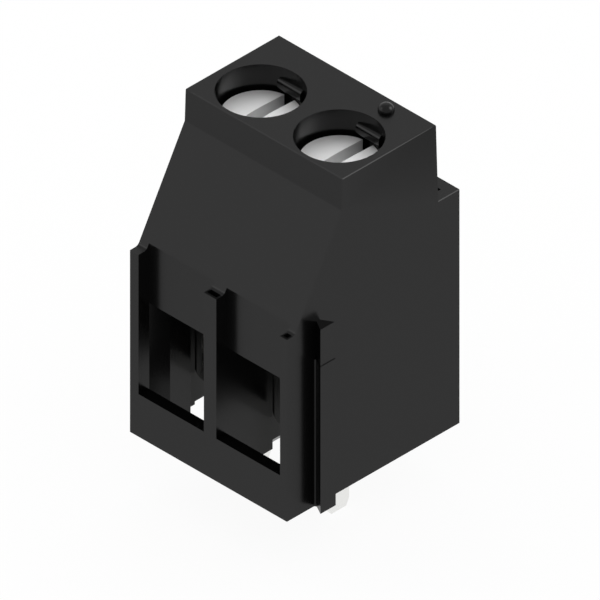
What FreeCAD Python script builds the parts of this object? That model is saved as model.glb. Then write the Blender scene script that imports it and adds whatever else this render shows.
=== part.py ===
import FreeCAD, Part

import os

import Sketcher

# Two-pole screw terminal for a printed circuit board, in millimetres.
# +Z is up from the board, +Y is to the back and +X is to the right.
# The origin is on the board plane, midway between the poles, on the line of the solder pins.

SIZES = [
    ("pitch", 5.08, "from one pole to the next"),
    ("pin_setback", 5.60, "front face to the line of the solder pins"),
    ("screw_setback", 5.93, "front face to the screw axes"),
    ("body_depth", 11.17, "front face to back face"),
    ("ledge_height", 13.055, "board to the ledge at the back"),
    ("ledge_depth", 1.38, "back face to the foot of the wall above the ledge"),
    ("back_draft", 0.14, "lean of the wall above the ledge"),
    ("top_setback", 3.605, "front face to the front edge of the top"),
    ("slant_top_setback", 3.544, "front face to the upper edge of the slanted front"),
    ("slant_top_height", 15.638, "board to the upper edge of the slanted front"),
    ("rib_height", 10.16, "board to the top of the front ribs"),
    ("rib_top_depth", 0.506, "flat top of a rib, before its fillet"),
    ("rib_fillet", 0.30, "hollow corner between rib top and slanted front"),
    ("left_rib", 0.55, "width of the left front rib"),
    ("right_rib", 0.45, "width of the right front rib"),
    ("middle_rib_to_left", 0.30, "middle rib, from the middle plane to its left face"),
    ("middle_rib_to_right", 0.506, "middle rib, from the middle plane to its right face"),
    ("recess_depth", 0.68, "how far the panels between the ribs lie back"),
    ("sill_height", 2.38, "board to the sill of a wire entry"),
    ("sill_depth", 0.64, "thickness of the sill wall"),
    ("lintel_height", 7.14, "board to the upper edge of a wire entry"),
    ("rib_slot_front", 0.12, "rib front to the slot in its top"),
    ("rib_slot_width", 0.28, "width of the slot in a rib top"),
    ("middle_slot_length", 0.70, "length of the slot in the middle rib top"),
    ("right_slot_length", 0.35, "length of the slot in the right rib top"),
    ("rib_slot_depth", 0.60, "depth of the slots in the rib tops"),
    ("rib_slot_wall", 0.08, "wall between such a slot and the left side of its rib"),
    ("well_diameter", 4.25, "screw well"),
    ("shank_hole_gap", 0.20, "radial room round the shank in the web"),
    ("lug_reach", 0.34, "lugs that keep the screw in its well, from the well wall"),
    ("lug_height", 0.66, "height of a lug"),
    ("lug_root", 0.10, "how far a lug's root reaches into the well wall"),
    ("lug_round", 0.26, "rounding of a lug's nose"),
    ("lug_length", 1.50, "length of a lug along the well wall"),
    ("lug_gap", 0.03, "lug above the rim of the screw head"),
    ("stud_diameter", 0.79, "small round stud on the top face"),
    ("stud_height", 0.36, "height of the stud"),
    ("stud_round", 0.33, "rounding of the stud"),
    ("stud_offset", 0.06, "stud to the right of the right pole"),
    ("stud_setback", 8.90, "front face to the stud"),
    ("ledge_slot_length", 3.90, "narrow slots in the back ledge"),
    ("ledge_slot_width", 0.16, "width of those slots"),
    ("ledge_slot_depth", 0.50, "depth of those slots"),
    ("ledge_slot_setback", 10.48, "front face to those slots"),
    ("tongue_depth", 0.64, "how far the tongue stands out of the right side"),
    ("tongue_width", 0.99, "width of the outer face of the tongue"),
    ("tongue_setback", 1.53, "front face to the outer face of the tongue"),
    ("tongue_undercut", 0.35, "undercut of the tongue's two flanks"),
    ("tongue_height", 10.25, "board to the upper end of the tongue"),
    ("tongue_step_height", 8.20, "board to the step in the tongue"),
    ("tongue_step", 0.035, "how much smaller the tongue is above its step"),
    ("tongue_root_fillet", 0.10, "hollow corner at the front root of the tongue, below its step"),
    ("groove_gap", 0.05, "room round a tongue in the groove of the left side"),
    ("groove_wall", 0.30, "wall between the groove and the wire entry"),
    ("swelling_setback", 0.70, "front face to the swelling round the groove, inside the wire entry"),
    ("swelling_front_flank", 0.91, "front flank of the swelling, front to back"),
    ("swelling_flat", 1.32, "flat middle of the swelling, front to back"),
    ("swelling_back_flank", 0.45, "back flank of the swelling, front to back"),
    ("lead_in_width", 0.27, "lead-in chamfer of the chambers, across"),
    ("lead_in_height", 0.40, "lead-in chamfer of the chambers, up"),
    ("guide_gap", 0.06, "running room of a yoke in its chamber"),
    ("yoke_width", 4.20, "yoke, side to side"),
    ("yoke_length", 4.44, "yoke, front to back"),
    ("yoke_rest_height", 1.55, "board to the underside of a yoke when open"),
    ("yoke_floor", 0.80, "thickness of the yoke's floor"),
    ("yoke_side", 0.50, "thickness of the yoke's sides"),
    ("yoke_top", 1.65, "thickness of the yoke's threaded top"),
    ("yoke_outer_round", 0.60, "outer bends of the yoke"),
    ("yoke_inner_round", 0.20, "inner bends of the yoke"),
    ("yoke_travel", 3.20, "travel of a yoke"),
    ("yoke_headroom", 0.20, "room above a yoke at the end of its travel"),
    ("grip_width", 0.24, "width of a grip groove in the yoke's floor"),
    ("grip_depth", 0.12, "depth of a grip groove"),
    ("grip_spacing", 0.80, "spacing of the grip grooves"),
    ("strip", 0.60, "thickness of the current bar's strip"),
    ("bar_width", 2.60, "width of the current bar"),
    ("bar_gap", 0.25, "room above the contact tongue in the open yoke"),
    ("bar_height", 6.00, "board to the underside of the contact tongue"),
    ("bar_front_gap", 0.25, "yoke front to the tip of the contact tongue"),
    ("foot_height", 0.25, "board to the underside of the bar's foot"),
    ("bend_inner", 0.20, "inner bend radius of the strip"),
    ("pin_width", 1.33, "width of the flat solder pin"),
    ("pin_length", 3.20, "solder pin below the board plane"),
    ("pin_tip_width", 0.19, "chamfer of the pin tip, across"),
    ("pin_tip_height", 0.39, "chamfer of the pin tip, up"),
    ("shank_diameter", 3.00, "screw thread, over its crests"),
    ("thread_gap", 0.05, "radial room of the thread in the yoke"),
    ("thread_chamfer", 0.15, "chamfer at the upper mouth of the yoke's thread"),
    ("tip_gap", 0.03, "screw tip to contact tongue"),
    ("tip_chamfer", 0.40, "chamfer of the screw tip"),
    ("head_diameter", 3.76, "screw head"),
    ("head_seat_height", 14.35, "board to the seat under the screw head"),
    ("head_seat_gap", 0.05, "play of the screw head over its seat"),
    ("head_side", 1.70, "height of the straight side of the head"),
    ("head_depth", 1.27, "top face to the rim of the screw heads"),
    ("dome_height", 0.06, "rise of the slightly domed head"),
    ("slot_width", 0.66, "screwdriver slot"),
    ("slot_depth", 0.95, "slot below the rim of the head"),
]

NUMBER = {name: value for name, value, meaning in SIZES}
POLES = {"left": "-0.5", "right": "0.5"}
GRIPS = 4

document = FreeCAD.newDocument("pcb_screw_terminal")
sheet = document.addObject("Spreadsheet::Sheet", "Sizes")
for row, (name, value, meaning) in enumerate(SIZES, start=1):
    sheet.set(f"A{row}", meaning)
    sheet.set(f"B{row}", str(value))
    sheet.setAlias(f"B{row}", name)
document.recompute()


def size(name):
    """The expression that reads one size from the sheet."""
    return f"Sizes.{name}"


def behind_front(expression):
    """The y of a place given by its distance behind the front face."""
    return f"{expression} - {size('pin_setback')}"


# Places that several pieces share, as expressions over the sheet.
SCREW_Y = behind_front(size("screw_setback"))
BODY_BACK = behind_front(size("body_depth"))
HALF_BODY = size("pitch")
CHAMBER_HALF = f"({size('yoke_width')} / 2 + {size('guide_gap')})"
CHAMBER_FRONT = f"({SCREW_Y} - {size('yoke_length')} / 2 - {size('guide_gap')})"
CHAMBER_BACK = f"({SCREW_Y} + {size('yoke_length')} / 2 + {size('guide_gap')})"
WINDOW_FLOOR = f"({size('yoke_rest_height')} + {size('yoke_floor')})"
BAR_TOP = f"({size('bar_height')} + {size('strip')})"
WINDOW_TOP = f"({BAR_TOP} + {size('bar_gap')})"
YOKE_TOP = f"({WINDOW_TOP} + {size('yoke_top')})"
CHAMBER_TOP = f"({YOKE_TOP} + {size('yoke_travel')} + {size('yoke_headroom')})"
HEAD_BASE = f"({size('head_seat_height')} + {size('head_seat_gap')})"
HEAD_RIM = f"({HEAD_BASE} + {size('head_side')})"
BODY_TOP = f"({HEAD_RIM} + {size('head_depth')})"
GROOVE_FLOOR = f"({size('tongue_depth')} + {size('groove_gap')} - {HALF_BODY})"


def pole_x(side):
    """The x of a pole."""
    return f"{POLES[side]} * {size('pitch')}"


def new_body(label):
    body = document.addObject("PartDesign::Body", label)
    body.Label = label
    return body


def new_sketch(body, name, plane, offset=None):
    """A sketch on one of the body's own origin planes, moved along the plane's normal."""
    sketch = body.newObject("Sketcher::SketchObject", name)
    support = next(item for item in body.Origin.OriginFeatures if item.Role == plane)
    sketch.AttachmentSupport = (support, [""])
    sketch.MapMode = "FlatFace"
    if offset:
        sketch.setExpression("AttachmentOffset.Base.z", offset)
    return sketch


def hold(sketch, kind, *place):
    """Add a constraint whose value, the last entry, is an expression."""
    value = float(sketch.evalExpression(place[-1]))
    index = sketch.addConstraint(Sketcher.Constraint(kind, *place[:-1], value))
    sketch.setExpression(f"Constraints[{index}]", place[-1])


def fix_point(sketch, line, end, place):
    """Hold one end of a line at a place given by two expressions."""
    hold(sketch, "DistanceX", line, end, place[0])
    hold(sketch, "DistanceY", line, end, place[1])


def spot(sketch, corner):
    """A place given by two expressions, as a point."""
    return FreeCAD.Vector(*(float(sketch.evalExpression(part)) for part in corner), 0)


def arc_between(start, end, centre_x):
    """The arc from one point to another, counter-clockwise about a centre of a given x."""
    rise = end.y - start.y
    reach = (end.x - centre_x) ** 2 - (start.x - centre_x) ** 2
    centre = FreeCAD.Vector(centre_x, (start.y + end.y) / 2 + reach / (2 * rise), 0)
    radius = (start - centre).Length
    middle = centre + ((start + end) / 2 - centre).normalize() * radius
    return Part.Arc(start, middle, end)


def add_outline(sketch, corners, domes=()):
    """A closed outline through corners given as pairs of expressions, counter-clockwise.

    The side that starts at a corner numbered in domes is an arc centred on the upright axis.
    """
    first = sketch.GeometryCount
    spots = [spot(sketch, corner) for corner in corners]
    for step, start in enumerate(spots):
        end = spots[(step + 1) % len(spots)]
        side = arc_between(start, end, 0) if step in domes else Part.LineSegment(start, end)
        sketch.addGeometry(side, False)
    for step in range(len(corners)):
        after = first + (step + 1) % len(corners)
        sketch.addConstraint(Sketcher.Constraint("Coincident", first + step, 2, after, 1))
    for step, corner in enumerate(corners):
        fix_point(sketch, first + step, 1, corner)
    for step in domes:
        sketch.addConstraint(Sketcher.Constraint("PointOnObject", first + step, 3, -2))


def add_rectangle(sketch, low, high):
    """A rectangle between two opposite corners."""
    add_outline(sketch, [low, (high[0], low[1]), high, (low[0], high[1])])


def add_circle(sketch, centre, diameter):
    index = sketch.addGeometry(
        Part.Circle(FreeCAD.Vector(0, 0, 0), FreeCAD.Vector(0, 0, 1), 1.0), False
    )
    fix_point(sketch, index, 3, centre)
    hold(sketch, "Diameter", index, diameter)


def finish_feature(body, feature):
    """Make a feature the body's last one, and stop if it failed."""
    body.Tip = feature
    document.recompute()
    if "Invalid" in feature.State or len(feature.Shape.Solids) != 1:
        raise RuntimeError(f"{body.Label}: {feature.Name} failed")


def extrude(body, kind, sketch, length, symmetric=False, reverse=False):
    """A pad or a pocket of a sketch."""
    feature = body.newObject(f"PartDesign::{kind}", f"{sketch.Name}_{kind.lower()}")
    feature.Profile = sketch
    feature.setExpression("Length", length)
    feature.SideType = "Symmetric" if symmetric else "One side"
    feature.Reversed = reverse
    finish_feature(body, feature)


def near(first, second):
    return abs(first - second) < 1e-4


def edges_at(shape, along, test):
    """Names of the edges that run along one axis, or are round, and whose ends pass a test."""
    names = []
    for number, edge in enumerate(shape.Edges, start=1):
        ends = [vertex.Point for vertex in edge.Vertexes]
        if along == "round":
            fits = isinstance(edge.Curve, Part.Circle)
        else:
            span = edge.BoundBox
            lengths = {"x": span.XLength, "y": span.YLength, "z": span.ZLength}
            fits = near(lengths[along], edge.Length)
        if fits and all(test(point) for point in ends):
            names.append(f"Edge{number}")
    return names


def dress(body, kind, name, along, test, size_name):
    """A fillet or chamfer on the edges of the last feature that pass a test."""
    base = body.Tip
    names = edges_at(base.Shape, along, test)
    if not names:
        raise RuntimeError(f"{body.Label}: no edge for {name}")
    feature = body.newObject(f"PartDesign::{kind}", name)
    feature.Base = (base, names)
    feature.setExpression("Radius" if kind == "Fillet" else "Size", size_name)
    finish_feature(body, feature)


def build_housing():
    """The moulding: one extruded side profile, with everything else cut into it or set on it."""
    body = new_body("housing")
    front = behind_front("0")
    add_side_profile(body, front)
    cut_front(body, front)
    add_swelling(body)
    cut_chambers(body)
    cut_screw_wells(body)
    add_lugs(body)
    add_stud(body)
    cut_small_slots(body)
    add_tongue(body)
    cut_groove(body)
    return body


def add_side_profile(body, front):
    sketch = new_sketch(body, "side_profile", "YZ_Plane")
    wall_foot = f"{BODY_BACK} - {size('ledge_depth')}"
    add_outline(sketch, [
        (front, "0"),
        (BODY_BACK, "0"),
        (BODY_BACK, size("ledge_height")),
        (wall_foot, size("ledge_height")),
        (f"{wall_foot} - {size('back_draft')}", BODY_TOP),
        (behind_front(size("top_setback")), BODY_TOP),
        (behind_front(size("slant_top_setback")), size("slant_top_height")),
        (behind_front(size("rib_top_depth")), size("rib_height")),
        (front, size("rib_height")),
    ])
    extrude(body, "Pad", sketch, f"2 * {HALF_BODY}", symmetric=True)
    corner_y = NUMBER["rib_top_depth"] - NUMBER["pin_setback"]
    corner_z = NUMBER["rib_height"]
    dress(
        body, "Fillet", "rib_fillets", "x",
        lambda point: near(point.y, corner_y) and near(point.z, corner_z),
        size("rib_fillet"),
    )


def window_sides(side):
    """The left and right faces of the space between two front ribs."""
    if side == "left":
        return f"{size('left_rib')} - {HALF_BODY}", f"-{size('middle_rib_to_left')}"
    return size("middle_rib_to_right"), f"{HALF_BODY} - {size('right_rib')}"


def cut_front(body, front):
    """The panels set back between the ribs, and the wire entries under them."""
    panels = new_sketch(body, "panels", "XZ_Plane", size("pin_setback"))
    for side in POLES:
        left, right = window_sides(side)
        add_rectangle(panels, (left, size("sill_height")), (right, BODY_TOP))
    extrude(body, "Pocket", panels, size("recess_depth"))

    entries = new_sketch(body, "wire_entries", "XY_Plane")
    sill = behind_front(size("sill_depth"))
    for side in POLES:
        left, right = window_sides(side)
        add_rectangle(entries, (left, sill), (right, CHAMBER_FRONT))
    extrude(body, "Pocket", entries, size("lintel_height"), reverse=True)


def add_swelling(body):
    """The side wall is thicker round the groove, which narrows the left wire entry."""
    sketch = new_sketch(body, "swelling", "XY_Plane")
    wall = window_sides("left")[0]
    inside_wall = f"{wall} - {size('left_rib')} / 2"
    crest = f"{GROOVE_FLOOR} + {size('groove_wall')}"
    start = behind_front(size("swelling_setback"))
    crest_start = f"{start} + {size('swelling_front_flank')}"
    crest_end = f"{crest_start} + {size('swelling_flat')}"
    end = f"{crest_end} + {size('swelling_back_flank')}"
    add_outline(sketch, [
        (inside_wall, start),
        (wall, start),
        (crest, crest_start),
        (crest, crest_end),
        (wall, end),
        (inside_wall, end),
    ])
    extrude(body, "Pad", sketch, size("lintel_height"))


def cut_chambers(body):
    """The chambers that guide the yokes, open below, each with a slot for the bar's riser."""
    chambers = new_sketch(body, "chambers", "XY_Plane")
    for side in POLES:
        left = f"{pole_x(side)} - {CHAMBER_HALF}"
        right = f"{pole_x(side)} + {CHAMBER_HALF}"
        add_rectangle(chambers, (left, CHAMBER_FRONT), (right, CHAMBER_BACK))
    extrude(body, "Pocket", chambers, CHAMBER_TOP, reverse=True)

    risers = new_sketch(body, "riser_slots", "XY_Plane")
    for side in POLES:
        left = f"{pole_x(side)} - {size('bar_width')} / 2"
        right = f"{pole_x(side)} + {size('bar_width')} / 2"
        back = f"{CHAMBER_BACK} + {size('strip')}"
        add_rectangle(risers, (left, CHAMBER_BACK), (right, back))
    extrude(body, "Pocket", risers, BAR_TOP, reverse=True)

    lead_ins = new_sketch(body, "lead_ins", "XZ_Plane", f"-{CHAMBER_FRONT}")
    for side, inward in [("left", "+"), ("right", "-")]:
        face = f"{pole_x(side)} {inward} {CHAMBER_HALF}"
        add_outline(lead_ins, [
            (face, "0"),
            (f"{face} {inward} {size('lead_in_width')}", "0"),
            (face, size("lead_in_height")),
        ])
    extrude(body, "Pocket", lead_ins, f"{CHAMBER_BACK} - {CHAMBER_FRONT}")


def cut_screw_wells(body):
    for name, diameter, floor in [
        ("screw_wells", size("well_diameter"), size("head_seat_height")),
        ("shank_holes", f"{size('shank_diameter')} + 2 * {size('shank_hole_gap')}", CHAMBER_TOP),
    ]:
        sketch = new_sketch(body, name, "XY_Plane", BODY_TOP)
        for side in POLES:
            add_circle(sketch, (pole_x(side), SCREW_Y), diameter)
        extrude(body, "Pocket", sketch, f"{BODY_TOP} - {floor}")


def add_lugs(body):
    """Rounded lugs on the well walls, just above the screw heads."""
    low = f"{HEAD_RIM} + {size('lug_gap')}"
    high = f"{low} + {size('lug_height')}"
    for side in POLES:
        sketch = new_sketch(body, f"lugs_{side}", "YZ_Plane", pole_x(side))
        for inward, outward in ("+-", "-+"):
            wall = f"{SCREW_Y} {outward} {size('well_diameter')} / 2"
            root = f"{wall} {outward} {size('lug_root')}"
            nose = f"{wall} {inward} {size('lug_reach')}"
            add_rectangle(sketch, (root, low), (nose, high))
        extrude(body, "Pad", sketch, size("lug_length"), symmetric=True)
        middle_y = NUMBER["screw_setback"] - NUMBER["pin_setback"]
        nose_reach = NUMBER["well_diameter"] / 2 - NUMBER["lug_reach"]
        dress(
            body, "Fillet", f"lug_noses_{side}", "x",
            lambda point: near(abs(point.y - middle_y), nose_reach) and point.z > rim_height(),
            size("lug_round"),
        )


def rim_height():
    """The rim of the screw heads, as a number."""
    return sum(NUMBER[name] for name in ("head_seat_height", "head_seat_gap", "head_side"))


def add_stud(body):
    sketch = new_sketch(body, "stud", "XY_Plane", BODY_TOP)
    centre = (f"{pole_x('right')} + {size('stud_offset')}", behind_front(size("stud_setback")))
    add_circle(sketch, centre, size("stud_diameter"))
    extrude(body, "Pad", sketch, size("stud_height"))
    top = body.Shape.BoundBox.ZMax
    dress(
        body, "Fillet", "stud_rounding", "round",
        lambda point: near(point.z, top),
        size("stud_round"),
    )


def cut_small_slots(body):
    """Slots in two rib tops and in the ledge at the back."""
    above_ribs = f"{size('rib_height')} + {size('rib_fillet')}"
    rib_slots = new_sketch(body, "rib_slots", "XY_Plane", above_ribs)
    near_side = behind_front(size("rib_slot_front"))
    far_side = f"{near_side} + {size('rib_slot_width')}"
    for side, length in [("left", "middle_slot_length"), ("right", "right_slot_length")]:
        rib_side = window_sides(side)[1]
        start = f"{rib_side} + {size('rib_slot_wall')}"
        add_rectangle(rib_slots, (start, near_side), (f"{rib_side} + {size(length)}", far_side))
    extrude(body, "Pocket", rib_slots, f"{size('rib_fillet')} + {size('rib_slot_depth')}")

    ledge_slots = new_sketch(body, "ledge_slots", "XY_Plane", size("ledge_height"))
    middle = behind_front(size("ledge_slot_setback"))
    half_length = f"{size('ledge_slot_length')} / 2"
    half_width = f"{size('ledge_slot_width')} / 2"
    for side in POLES:
        low = (f"{pole_x(side)} - {half_length}", f"{middle} - {half_width}")
        high = (f"{pole_x(side)} + {half_length}", f"{middle} + {half_width}")
        add_rectangle(ledge_slots, low, high)
    extrude(body, "Pocket", ledge_slots, size("ledge_slot_depth"))


def dovetail(wall, floor, front, back):
    """Plan outline of a dovetail that is undercut on both flanks."""
    return [
        (wall, f"{front} + {size('tongue_undercut')}"),
        (floor, front),
        (floor, back),
        (wall, f"{back} - {size('tongue_undercut')}"),
    ]


def add_tongue(body):
    """The dovetail tongue on the right side, a little smaller above its step."""
    front = behind_front(size("tongue_setback"))
    back = f"{front} + {size('tongue_width')}"
    for name, inset, height in [
        ("tongue", "0", size("tongue_step_height")),
        ("tongue_end", size("tongue_step"), size("tongue_height")),
    ]:
        sketch = new_sketch(body, name, "XY_Plane")
        outer = f"{HALF_BODY} + {size('tongue_depth')} - {inset}"
        add_outline(sketch, dovetail(HALF_BODY, outer, f"{front} + {inset}", f"{back} - {inset}"))
        extrude(body, "Pad", sketch, height)
    root_y = sum(NUMBER[name] for name in ("tongue_setback", "tongue_undercut"))
    dress(
        body, "Fillet", "tongue_root", "z",
        lambda point: near(point.x, NUMBER["pitch"])
        and near(point.y, root_y - NUMBER["pin_setback"])
        and point.z < NUMBER["tongue_step_height"] + 0.01,
        size("tongue_root_fillet"),
    )


def cut_groove(body):
    """The groove of the left side, which takes the tongue of a neighbour."""
    sketch = new_sketch(body, "groove", "XY_Plane")
    gap = size("groove_gap")
    front = f"{behind_front(size('tongue_setback'))} - {gap}"
    back = f"{front} + {size('tongue_width')} + 2 * {gap}"
    add_outline(sketch, dovetail(f"-{HALF_BODY}", GROOVE_FLOOR, front, back))
    height = f"{size('tongue_height')} + {size('groove_gap')}"
    extrude(body, "Pocket", sketch, height, reverse=True)


def build_screw(side):
    """A turned screw: plain shank over the thread crests, domed head and straight slot."""
    body = new_body(f"clamp_screw_{side}")
    sketch = new_sketch(body, f"screw_profile_{side}", "XZ_Plane")
    shank = f"{size('shank_diameter')} / 2"
    head = f"{size('head_diameter')} / 2"
    tip = f"{BAR_TOP} + {size('tip_gap')}"
    corners = [
        ("0", tip),
        (f"{shank} - {size('tip_chamfer')}", tip),
        (shank, f"{tip} + {size('tip_chamfer')}"),
        (shank, HEAD_BASE),
        (head, HEAD_BASE),
        (head, HEAD_RIM),
        ("0", f"{HEAD_RIM} + {size('dome_height')}"),
    ]
    add_outline(sketch, corners, domes=[5])
    turned = body.newObject("PartDesign::Revolution", f"turned_{side}")
    turned.Profile = sketch
    turned.ReferenceAxis = (sketch, ["V_Axis"])
    turned.Angle = 360
    finish_feature(body, turned)

    slot = new_sketch(body, f"slot_{side}", "YZ_Plane")
    floor = f"{HEAD_RIM} - {size('slot_depth')}"
    top = f"{HEAD_RIM} + {size('dome_height')}"
    add_rectangle(slot, (f"-{head}", floor), (head, top))
    extrude(body, "Pocket", slot, size("slot_width"), symmetric=True)
    place(body, side, SCREW_Y)
    return body


def build_yoke(side):
    """A folded cage: the window takes the wire and the current bar, the top is threaded."""
    body = new_body(f"clamping_yoke_{side}")
    sketch = new_sketch(body, f"cage_{side}", "XZ_Plane")
    outer = f"{size('yoke_width')} / 2"
    inner = f"({outer} - {size('yoke_side')})"
    add_rectangle(sketch, (f"-{outer}", size("yoke_rest_height")), (outer, YOKE_TOP))
    add_rectangle(sketch, (f"-{inner}", WINDOW_FLOOR), (inner, WINDOW_TOP))
    extrude(body, "Pad", sketch, size("yoke_length"), symmetric=True)
    half_width = NUMBER["yoke_width"] / 2
    dress(
        body, "Fillet", f"outer_bends_{side}", "y",
        lambda point: near(abs(point.x), half_width),
        size("yoke_outer_round"),
    )
    half_window = half_width - NUMBER["yoke_side"]
    floor_top = NUMBER["yoke_rest_height"] + NUMBER["yoke_floor"]
    dress(
        body, "Fillet", f"inner_bends_{side}", "y",
        lambda point: near(abs(point.x), half_window) and near(point.z, floor_top),
        size("yoke_inner_round"),
    )
    hole = new_sketch(body, f"threaded_hole_{side}", "XY_Plane", YOKE_TOP)
    add_circle(hole, ("0", "0"), f"{size('shank_diameter')} + 2 * {size('thread_gap')}")
    extrude(body, "Pocket", hole, size("yoke_top"))
    top = body.Shape.BoundBox.ZMax
    dress(
        body, "Chamfer", f"thread_mouth_{side}", "round",
        lambda point: near(point.z, top),
        size("thread_chamfer"),
    )
    grips = new_sketch(body, f"grip_grooves_{side}", "YZ_Plane")
    for step in range(GRIPS):
        middle = f"{step - (GRIPS - 1) / 2} * {size('grip_spacing')}"
        low = (f"{middle} - {size('grip_width')} / 2", f"{WINDOW_FLOOR} - {size('grip_depth')}")
        high = (f"{middle} + {size('grip_width')} / 2", WINDOW_FLOOR)
        add_rectangle(grips, low, high)
    groove_length = f"2 * {inner} - 2 * {size('yoke_inner_round')}"
    extrude(body, "Pocket", grips, groove_length, symmetric=True)
    place(body, side, SCREW_Y)
    return body


def build_bar(side):
    """One bent strip: contact tongue, riser behind the yoke, foot and flat solder pin."""
    body = new_body(f"current_bar_{side}")
    foot_top = f"({size('foot_height')} + {size('strip')})"
    add_pin(body, side, foot_top)
    add_riser(body, side, foot_top)
    place(body, side, "0")
    return body


def add_pin(body, side, foot_top):
    """The flat pin, bent down out of the foot, with a chamfered tip."""
    half = f"{size('strip')} / 2"
    bend = new_sketch(body, f"pin_bend_{side}", "XZ_Plane")
    add_outline(bend, [
        (f"-{half}", "0"),
        (half, "0"),
        (half, size("foot_height")),
        (f"{size('bar_width')} / 2", size("foot_height")),
        (f"{size('bar_width')} / 2", foot_top),
        (f"-{half}", foot_top),
    ])
    extrude(body, "Pad", bend, size("pin_width"), symmetric=True)
    half_strip = NUMBER["strip"] / 2
    bottom = NUMBER["foot_height"]
    dress(
        body, "Fillet", f"pin_bend_outside_{side}", "y",
        lambda point: near(point.x, -half_strip) and near(point.z, bottom + 2 * half_strip),
        f"{size('bend_inner')} + {size('strip')}",
    )
    dress(
        body, "Fillet", f"pin_bend_inside_{side}", "y",
        lambda point: near(point.x, half_strip) and near(point.z, bottom),
        size("bend_inner"),
    )

    blade = new_sketch(body, f"pin_blade_{side}", "YZ_Plane")
    edge = f"{size('pin_width')} / 2"
    end = f"-{size('pin_length')}"
    shoulder = f"{end} + {size('pin_tip_height')}"
    add_outline(blade, [
        (f"-{edge}", shoulder),
        (f"-{edge} + {size('pin_tip_width')}", end),
        (f"{edge} - {size('pin_tip_width')}", end),
        (edge, shoulder),
        (edge, "0"),
        (f"-{edge}", "0"),
    ])
    extrude(body, "Pad", blade, size("strip"), symmetric=True)


def add_riser(body, side, foot_top):
    """The foot, the riser in its slot behind the yoke and the tongue that reaches into the yoke."""
    bent = new_sketch(body, f"bent_strip_{side}", "YZ_Plane")
    tip = f"{SCREW_Y} - {size('yoke_length')} / 2 + {size('bar_front_gap')}"
    riser_back = f"({CHAMBER_BACK} + {size('strip')})"
    foot_front = f"{size('pin_width')} / 2"
    add_outline(bent, [
        (tip, size("bar_height")),
        (CHAMBER_BACK, size("bar_height")),
        (CHAMBER_BACK, foot_top),
        (foot_front, foot_top),
        (foot_front, size("foot_height")),
        (riser_back, size("foot_height")),
        (riser_back, BAR_TOP),
        (tip, BAR_TOP),
    ])
    extrude(body, "Pad", bent, size("bar_width"), symmetric=True)
    back_y = body.Shape.BoundBox.YMax
    front_y = back_y - NUMBER["strip"]
    dress(
        body, "Fillet", f"outer_bends_of_bar_{side}", "x",
        lambda point: near(point.y, back_y),
        f"{size('bend_inner')} + {size('strip')}",
    )
    dress(
        body, "Fillet", f"inner_bends_of_bar_{side}", "x",
        lambda point: near(point.y, front_y),
        size("bend_inner"),
    )


def place(body, side, y):
    """Move a piece that is drawn about its own axis to its pole."""
    body.setExpression("Placement.Base.x", pole_x(side))
    body.setExpression("Placement.Base.y", y)
    document.recompute()


def build_part():
    bodies = [build_housing()]
    for side in POLES:
        bodies += [build_screw(side), build_yoke(side), build_bar(side)]
    return bodies


def check_and_export(bodies):
    """Stop at anything that failed, then write one file for each piece."""
    document.recompute()
    for item in document.Objects:
        if "Invalid" in item.State or "Error" in item.State:
            raise RuntimeError(f"{item.Label} failed: {item.State}")
    for body in bodies:
        if body.Shape.isNull() or not body.Shape.isValid():
            raise RuntimeError(f"{body.Label} has no valid shape")
    os.makedirs("parts", exist_ok=True)
    for body in bodies:
        body.Shape.exportStep(f"parts/{body.Label}.step")
        box = body.Shape.BoundBox
        print(f"{body.Label}: {body.Shape.Volume:.3f} mm3, z {box.ZMin:.3f} to {box.ZMax:.3f}")


check_and_export(build_part())
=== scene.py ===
import math

import bmesh
import bpy
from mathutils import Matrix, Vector


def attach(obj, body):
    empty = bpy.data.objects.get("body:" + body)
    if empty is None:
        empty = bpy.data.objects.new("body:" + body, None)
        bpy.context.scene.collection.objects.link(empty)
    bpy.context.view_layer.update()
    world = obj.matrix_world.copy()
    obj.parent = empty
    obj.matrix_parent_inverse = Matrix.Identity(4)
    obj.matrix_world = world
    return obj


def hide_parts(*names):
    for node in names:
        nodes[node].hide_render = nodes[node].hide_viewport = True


# Two-pole screw terminal for a printed circuit board, in metres, in the frame of the CAD model.

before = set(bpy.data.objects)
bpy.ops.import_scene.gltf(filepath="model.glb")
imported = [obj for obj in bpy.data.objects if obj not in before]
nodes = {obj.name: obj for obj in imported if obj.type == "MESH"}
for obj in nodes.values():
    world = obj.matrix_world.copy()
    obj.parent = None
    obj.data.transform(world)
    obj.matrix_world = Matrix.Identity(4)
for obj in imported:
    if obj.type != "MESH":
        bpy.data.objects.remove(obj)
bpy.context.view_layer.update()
scene = bpy.context.scene

MM = 0.001
POLES = {"left": -2.54 * MM, "right": 2.54 * MM}

# The outline of the housing's top and of the ledge behind it, for their chamfer.
HALF_WIDTH = 5.08 * MM
BODY_TOP = 17.37 * MM
TOP_FRONT = -1.995 * MM
LEDGE_HEIGHT = 13.055 * MM
RIM_CHAMFER = 0.035 * MM
RIM_ANGLE = math.radians(60)
SAME_HEIGHT = 0.001 * MM
AT_OUTLINE = 0.01 * MM

# Points of a CAD mesh that are closer than this are one point.
SEAM = 0.0002 * MM
SHARP_EDGE = math.radians(25)

# The shank reaches a little into the head. Its sizes are the inputs of its tree.
HEAD_BASE = 14.40 * MM
SHANK_SIZES = {
    "Radius": 1.5 * MM,
    "Pitch": 0.5 * MM,
    "Thread Depth": 0.29 * MM,
    "Lower End": 6.63 * MM,
    "Upper End": HEAD_BASE + 0.1 * MM,
    "Tip Chamfer": 0.4 * MM,
    "Run-out": 0.5 * MM,
    "Centre Y": 0.33 * MM,
}
STEPS_AROUND = 48
STEPS_PER_PITCH = 8

# Half widths of the thread's flat root and, from the middle of the groove, of its mouth, in
# pitches. The flanks lie between them.
ROOT_EDGE = 0.125
MOUTH_EDGE = 0.4375
FLANK = 1 / (MOUTH_EDGE - ROOT_EDGE)

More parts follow.
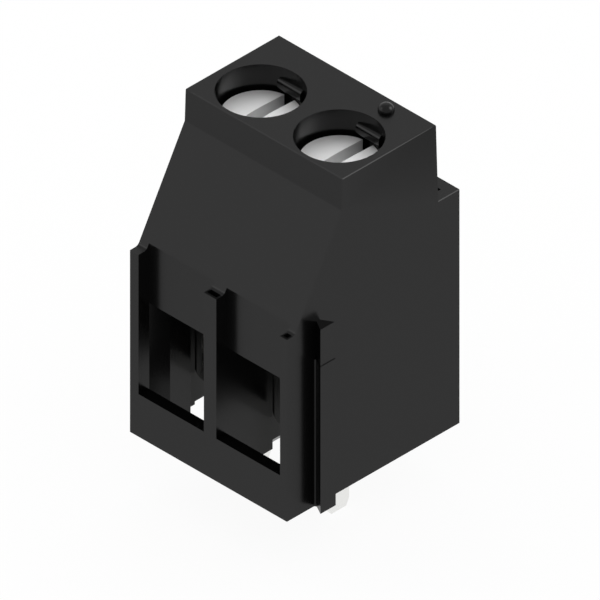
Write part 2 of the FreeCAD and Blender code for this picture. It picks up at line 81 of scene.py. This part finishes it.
# The floor is a hair under the pins.
FLOOR_HEIGHT = -3.25 * MM
FLOOR_SIZE = 6.0
FLOOR_WHITENESS = 0.92
FLOOR_IN_MIRRORS = 0.92

# Soft boxes: direction, half angles in degrees of full strength and of the end, added strength.
SOFTBOXES = [
    ((-0.579, -0.791, 0.187), 12, 32, 0.95),
    ((0.574, 0.579, 0.578), 10, 26, 5.0),
    ((-0.579, -0.574, 0.579), 4, 14, 1.8),
]

VIEW_AZIMUTH = math.radians(45)
VIEW_ELEVATION = math.radians(35)
VIEW_CENTRE = Vector((-2.201, 2.527, 4.769)) * MM
VIEW_WIDTH = 27.46 * MM
VIEW_DISTANCE = 0.12
NEAREST = 0.001
FARTHEST = 5.0


# Colours and materials

def srgb(code):
    """A six-digit sRGB colour as linear red, green, blue and alpha."""
    channels = [int(code[start:start + 2], 16) / 255 for start in (0, 2, 4)]
    linear = [c / 12.92 if c <= 0.04045 else ((c + 0.055) / 1.055) ** 2.4 for c in channels]
    return (*linear, 1.0)


WHITE = srgb("FFFFFF")


def add_node(tree, kind, place, feeds=None, **settings):
    """One node with its settings, and what feeds its sockets: a value, an output or several."""
    node = tree.nodes.new(kind)
    node.location = place
    for name, value in settings.items():
        setattr(node, name, value)
    for name, feed in (feeds or {}).items():
        if isinstance(feed, list):
            for source in feed:
                tree.links.new(source, node.inputs[name])
        elif isinstance(feed, bpy.types.NodeSocket):
            tree.links.new(feed, node.inputs[name])
        else:
            node.inputs[name].default_value = feed
    return node


def make_material(name, looks):
    """A material of one plain surface, from the values of its shader's sockets."""
    material = bpy.data.materials.new(name)
    material.use_nodes = True
    tree = material.node_tree
    tree.nodes.clear()
    shader = add_node(tree, "ShaderNodeBsdfPrincipled", (300, 0), looks)
    add_node(tree, "ShaderNodeOutputMaterial", (600, 0), {"Surface": shader.outputs["BSDF"]})
    return material


def dress(obj, material):
    """One material on the whole of an object."""
    obj.data.materials.clear()
    obj.data.materials.append(material)


# Nearly all that is seen of the smooth moulded plastic is the room that it reflects.
black_polyamide = make_material("black_polyamide_smooth_moulded", {
    "Base Color": srgb("060606"),
    "Roughness": 0.23,
    "Specular IOR Level": 0.19,
})
# The plating is dull, so the heads shade softly from grey to white.
zinc_steel = make_material("zinc_plated_steel", {
    "Base Color": srgb("F1F1F1"),
    "Metallic": 1.0,
    "Roughness": 0.58,
})
# The folded sheet is bright, and shows as light slivers in the dark of the entries.
nickel_steel = make_material("nickel_plated_steel", {
    "Base Color": srgb("C8C8C6"),
    "Metallic": 1.0,
    "Roughness": 0.25,
})
# The stamped strip is silky, so the pins look nearly white with a grey edge.
tinned_copper = make_material("tin_plated_copper_alloy", {
    "Base Color": srgb("EEEEEC"),
    "Metallic": 1.0,
    "Roughness": 0.3,
})

FINISHES = {
    "housing": black_polyamide,
    "clamp_screw": zinc_steel,
    "clamping_yoke": nickel_steel,
    "current_bar": tinned_copper,
}

for name, obj in nodes.items():
    dress(obj, FINISHES[name.removesuffix("_left").removesuffix("_right")])


# Pieces made from the meshes of the CAD nodes

def merged_copy(node):
    """The loose triangles of a CAD node as one joined bmesh, without their stored normals."""
    mesh = node.data.copy()
    mesh.attributes.remove(mesh.attributes["custom_normal"])
    build = bmesh.new()
    build.from_mesh(mesh)
    bpy.data.meshes.remove(mesh)
    bmesh.ops.remove_doubles(build, verts=build.verts, dist=SEAM)
    return build


def finish_piece(name, build, material):
    """An object from a bmesh, smooth but for its real edges."""
    for face in build.faces:
        face.smooth = True
    mesh = bpy.data.meshes.new(name)
    build.to_mesh(mesh)
    build.free()
    mesh.set_sharp_from_angle(angle=SHARP_EDGE)
    piece = bpy.data.objects.new(name, mesh)
    bpy.context.collection.objects.link(piece)
    dress(piece, material)
    return piece


# Housing: the CAD moulding with a small chamfer where the photograph shows one

def is_upper_rim(edge):
    """Whether an edge is the front or right edge of the top face, or the ledge's right edge."""
    if len(edge.link_faces) != 2 or edge.calc_face_angle() < RIM_ANGLE:
        return False
    for height in (BODY_TOP, LEDGE_HEIGHT):
        if all(abs(vertex.co.z - height) < SAME_HEIGHT for vertex in edge.verts):
            middle = (edge.verts[0].co + edge.verts[1].co) / 2
            at_right = middle.x > HALF_WIDTH - AT_OUTLINE
            at_front = middle.y < TOP_FRONT + AT_OUTLINE
            return at_right or at_front
    return False


def make_moulding():
    """The merged housing, with a small chamfer on three of its upper edges."""
    build = merged_copy(nodes["housing"])
    rim = [edge for edge in build.edges if is_upper_rim(edge)]
    bmesh.ops.bevel(
        build,
        geom=rim,
        offset=RIM_CHAMFER,
        offset_type="OFFSET",
        segments=1,
        profile=0.5,
        affect="EDGES",
        clamp_overlap=False,
        loop_slide=False,
    )
    housing = finish_piece("moulded_housing", build, black_polyamide)
    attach(housing, "housing_body")
    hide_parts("housing")


make_moulding()


# Screws: the turned heads of the CAD model on shanks with a real thread

# The radius and place of each point of a threaded shank, from the share of a turn and of the
# length at which it lies. Each step names its value, its operation and what it takes in.
SHANK_STEPS = [
    ("turn", "ADD", "across", 0.5),
    ("share", "ADD", "along", 0.5),
    ("length", "SUBTRACT", "Upper End", "Lower End"),
    ("height", "MULTIPLY_ADD", "share", "length", "Lower End"),
    ("angle", "MULTIPLY", "turn", 2 * math.pi),
    # The groove is 1 deep over its flat root, falls off along the flanks and is 0 at the crest.
    ("turns", "DIVIDE", "height", "Pitch"),
    ("thread", "SUBTRACT", "turns", "turn"),
    ("phase", "FRACT", "thread"),
    ("centred", "SUBTRACT", "phase", 0.5),
    ("apart", "ABSOLUTE", "centred"),
    ("groove", "MULTIPLY_ADD", "apart", -FLANK, MOUTH_EDGE * FLANK),
    # The groove fades out under the head.
    ("below_head", "SUBTRACT", "Upper End", "height"),
    ("fading", "DIVIDE", "below_head", "Run-out"),
    ("fade", "SUBTRACT", "fading", 1.0),
    ("depth", "MULTIPLY", "groove", "Thread Depth"),
    ("cut", "MULTIPLY", "depth", "fade"),
    ("threaded", "SUBTRACT", "Radius", "cut"),
    # The tip is chamfered.
    ("above_tip", "SUBTRACT", "height", "Lower End"),
    ("to_full_width", "SUBTRACT", "Tip Chamfer", "above_tip"),
    ("chamfer", "MAXIMUM", "to_full_width", 0.0),
    ("limit", "SUBTRACT", "Radius", "chamfer"),
    ("reach", "MINIMUM", "threaded", "limit"),
    ("cosine", "COSINE", "angle"),
    ("sine", "SINE", "angle"),
    ("x", "MULTIPLY", "reach", "cosine"),
    ("y", "MULTIPLY", "reach", "sine"),
]
CLAMPED_STEPS = {"groove", "fade"}


def make_shank_tree():
    """Geometry Nodes that wrap a grid into a threaded shank, closed at both ends."""
    tree = bpy.data.node_groups.new("threaded_shank", "GeometryNodeTree")
    tree.is_modifier = True
    for name in [*SHANK_SIZES, "Centre X"]:
        tree.interface.new_socket(name, in_out="INPUT", socket_type="NodeSocketFloat")
    for name in ("Steps Around", "Steps Along"):
        tree.interface.new_socket(name, in_out="INPUT", socket_type="NodeSocketInt")
    tree.interface.new_socket("Surface", in_out="INPUT", socket_type="NodeSocketMaterial")
    tree.interface.new_socket("Geometry", in_out="OUTPUT", socket_type="NodeSocketGeometry")
    given = add_node(tree, "NodeGroupInput", (-1400, 0)).outputs

    columns = add_node(
        tree, "ShaderNodeMath", (-1100, 300), {0: given["Steps Around"], 1: 1.0}, operation="ADD"
    )
    rows = add_node(
        tree, "ShaderNodeMath", (-1100, 100), {0: given["Steps Along"], 1: 1.0}, operation="ADD"
    )
    grid = add_node(tree, "GeometryNodeMeshGrid", (-900, 300), {
        "Size X": 1.0,
        "Size Y": 1.0,
        "Vertices X": columns.outputs["Value"],
        "Vertices Y": rows.outputs["Value"],
    })
    position = add_node(tree, "GeometryNodeInputPosition", (-1100, -200))
    split = add_node(
        tree, "ShaderNodeSeparateXYZ", (-900, -200), {"Vector": position.outputs["Position"]}
    )
    values = {name: given[name] for name in SHANK_SIZES}
    values["across"] = split.outputs["X"]
    values["along"] = split.outputs["Y"]
    for number, (name, operation, *takes) in enumerate(SHANK_STEPS):
        step = add_node(
            tree,
            "ShaderNodeMath",
            (-700 + 60 * number, -400 - 40 * number),
            {index: values.get(take, take) for index, take in enumerate(takes)},
            operation=operation,
            use_clamp=name in CLAMPED_STEPS,
        )
        values[name] = step.outputs["Value"]
    wrapped = add_node(tree, "ShaderNodeCombineXYZ", (900, -200), {
        "X": values["x"],
        "Y": values["y"],
        "Z": values["height"],
    })
    wall = add_node(tree, "GeometryNodeSetPosition", (1100, 300), {
        "Geometry": grid.outputs["Mesh"],
        "Position": wrapped.outputs["Vector"],
    })

    tip_radius = add_node(
        tree,
        "ShaderNodeMath",
        (300, 500),
        {0: given["Radius"], 1: given["Tip Chamfer"]},
        operation="SUBTRACT",
    ).outputs["Value"]
    caps = []
    for end, radius in [("Lower End", tip_radius), ("Upper End", given["Radius"])]:
        row = 700 + 200 * len(caps)
        disc = add_node(tree, "GeometryNodeMeshCircle", (500, row), {
            "Vertices": given["Steps Around"],
            "Radius": radius,
        }, fill_type="NGON")
        height = add_node(tree, "ShaderNodeCombineXYZ", (700, row), {"Z": given[end]})
        cap = add_node(tree, "GeometryNodeTransform", (900, row), {
            "Geometry": disc.outputs["Mesh"],
            "Translation": height.outputs["Vector"],
        })
        caps.append(cap.outputs["Geometry"])
    # Both discs face up, so the one that closes the tip is turned over.
    tip, top = caps
    turned = add_node(tree, "GeometryNodeFlipFaces", (1100, 700), {"Mesh": tip})

    joined = add_node(tree, "GeometryNodeJoinGeometry", (1300, 300), {
        "Geometry": [wall.outputs["Geometry"], turned.outputs["Mesh"], top],
    })
    closed = add_node(tree, "GeometryNodeMergeByDistance", (1500, 300), {
        "Geometry": joined.outputs["Geometry"],
        "Distance": SEAM,
    })
    centre = add_node(tree, "ShaderNodeCombineXYZ", (1500, 100), {
        "X": given["Centre X"],
        "Y": given["Centre Y"],
    })
    placed = add_node(tree, "GeometryNodeTransform", (1700, 300), {
        "Geometry": closed.outputs["Geometry"],
        "Translation": centre.outputs["Vector"],
    })
    plain = add_node(
        tree, "GeometryNodeRealizeInstances", (1900, 300), {"Geometry": placed.outputs["Geometry"]}
    )
    dressed = add_node(tree, "GeometryNodeSetMaterial", (2100, 300), {
        "Geometry": plain.outputs["Geometry"],
        "Material": given["Surface"],
    })
    add_node(tree, "NodeGroupOutput", (2300, 300), {"Geometry": dressed.outputs["Geometry"]})
    return tree


def make_shank(tree, side):
    """The plain mesh that the shank tree gives for one screw."""
    shank = bpy.data.objects.new("shank", bpy.data.meshes.new("shank"))
    bpy.context.collection.objects.link(shank)
    modifier = shank.modifiers.new("threaded_shank", "NODES")
    modifier.node_group = tree
    length = SHANK_SIZES["Upper End"] - SHANK_SIZES["Lower End"]
    wanted = {
        **SHANK_SIZES,
        "Centre X": POLES[side],
        "Steps Around": STEPS_AROUND,
        "Steps Along": round(length / SHANK_SIZES["Pitch"] * STEPS_PER_PITCH),
        "Surface": zinc_steel,
    }
    for item in tree.interface.items_tree:
        if item.in_out == "INPUT":
            modifier[item.identifier] = wanted[item.name]
    depsgraph = bpy.context.evaluated_depsgraph_get()
    mesh = bpy.data.meshes.new_from_object(shank.evaluated_get(depsgraph))
    shank.modifiers.remove(modifier)
    bpy.data.objects.remove(shank)
    return mesh


def make_screw(tree, side):
    """The closed head of the CAD screw on a threaded shank, turning with the screw's body."""
    build = merged_copy(nodes[f"clamp_screw_{side}"])
    low = [vertex for vertex in build.verts if vertex.co.z < HEAD_BASE - SEAM]
    bmesh.ops.delete(build, geom=low, context="VERTS")
    hole = [edge for edge in build.edges if edge.is_boundary]
    bmesh.ops.holes_fill(build, edges=hole, sides=0)
    build.from_mesh(make_shank(tree, side))
    screw = finish_piece(f"threaded_screw_{side}", build, zinc_steel)
    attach(screw, f"screw_{side}")
    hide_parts(f"clamp_screw_{side}")


shank_tree = make_shank_tree()
for side in POLES:
    make_screw(shank_tree, side)


# Floor, light and camera

def make_floor():
    """A white floor that keeps a soft shadow and is plain and nearly white in reflections."""
    bpy.ops.mesh.primitive_plane_add(size=FLOOR_SIZE, location=(0, 0, FLOOR_HEIGHT))
    floor = bpy.context.object
    floor.name = "floor"
    material = bpy.data.materials.new("white_studio_floor")
    material.use_nodes = True
    tree = material.node_tree
    tree.nodes.clear()
    paths = add_node(tree, "ShaderNodeLightPath", (-200, 300))
    plain = add_node(tree, "ShaderNodeBsdfDiffuse", (0, 0), {"Color": WHITE})
    white = add_node(tree, "ShaderNodeEmission", (0, -200), {"Color": WHITE, "Strength": 1.0})
    soft = add_node(tree, "ShaderNodeMixShader", (300, 0), {
        "Fac": FLOOR_WHITENESS,
        1: plain.outputs["BSDF"],
        2: white.outputs["Emission"],
    })
    pale = add_node(tree, "ShaderNodeEmission", (300, -200), {
        "Color": WHITE,
        "Strength": FLOOR_IN_MIRRORS,
    })
    mirror = add_node(tree, "ShaderNodeMixShader", (550, 0), {
        "Fac": paths.outputs["Is Glossy Ray"],
        1: soft.outputs["Shader"],
        2: pale.outputs["Emission"],
    })
    add_node(tree, "ShaderNodeOutputMaterial", (800, 0), {"Surface": mirror.outputs["Shader"]})
    dress(floor, material)


def add_softbox(tree, row, direction, inner, outer, strength):
    """A soft bright patch of the surroundings: its strength for each direction of view."""
    left, top = -1200, -300 * row
    coordinates = add_node(tree, "ShaderNodeTexCoord", (left, top))
    dot = add_node(tree, "ShaderNodeVectorMath", (left + 200, top), {
        0: coordinates.outputs["Generated"],
        1: Vector(direction).normalized(),
    }, operation="DOT_PRODUCT")
    patch = add_node(tree, "ShaderNodeMapRange", (left + 400, top), {
        "Value": dot.outputs["Value"],
        "From Min": math.cos(math.radians(outer)),
        "From Max": math.cos(math.radians(inner)),
        "To Max": strength,
    }, interpolation_type="SMOOTHSTEP")
    return patch.outputs["Result"]


def make_world():
    """White all round, with soft boxes that only reflections see."""
    world = bpy.data.worlds.new("white_studio")
    world.use_nodes = True
    scene.world = world
    tree = world.node_tree
    total = 0.0
    for row, box in enumerate(SOFTBOXES):
        patch = add_softbox(tree, row, *box)
        both = add_node(
            tree, "ShaderNodeMath", (-500, -200 * row), {0: total, 1: patch}, operation="ADD"
        )
        total = both.outputs["Value"]
    paths = add_node(tree, "ShaderNodeLightPath", (-500, 400))
    seen = add_node(tree, "ShaderNodeMath", (-300, 0), {
        0: total,
        1: paths.outputs["Is Glossy Ray"],
        2: 1.0,
    }, operation="MULTIPLY_ADD")
    background = tree.nodes["Background"]
    background.inputs["Color"].default_value = WHITE
    tree.links.new(seen.outputs["Value"], background.inputs["Strength"])


def make_camera():
    """The photograph's view: orthographic, from the front right, 35 degrees above the horizon."""
    away = Vector((
        math.sin(VIEW_AZIMUTH) * math.cos(VIEW_ELEVATION),
        -math.cos(VIEW_AZIMUTH) * math.cos(VIEW_ELEVATION),
        math.sin(VIEW_ELEVATION),
    ))
    data = bpy.data.cameras.new("camera")
    data.type = "ORTHO"
    data.ortho_scale = VIEW_WIDTH
    data.clip_start = NEAREST
    data.clip_end = FARTHEST
    camera = bpy.data.objects.new("camera", data)
    bpy.context.collection.objects.link(camera)
    camera.location = VIEW_CENTRE + away * VIEW_DISTANCE
    camera.rotation_euler = away.to_track_quat("Z", "Y").to_euler()
    scene.camera = camera


make_floor()
make_world()
make_camera()
scene.view_settings.view_transform = "Standard"
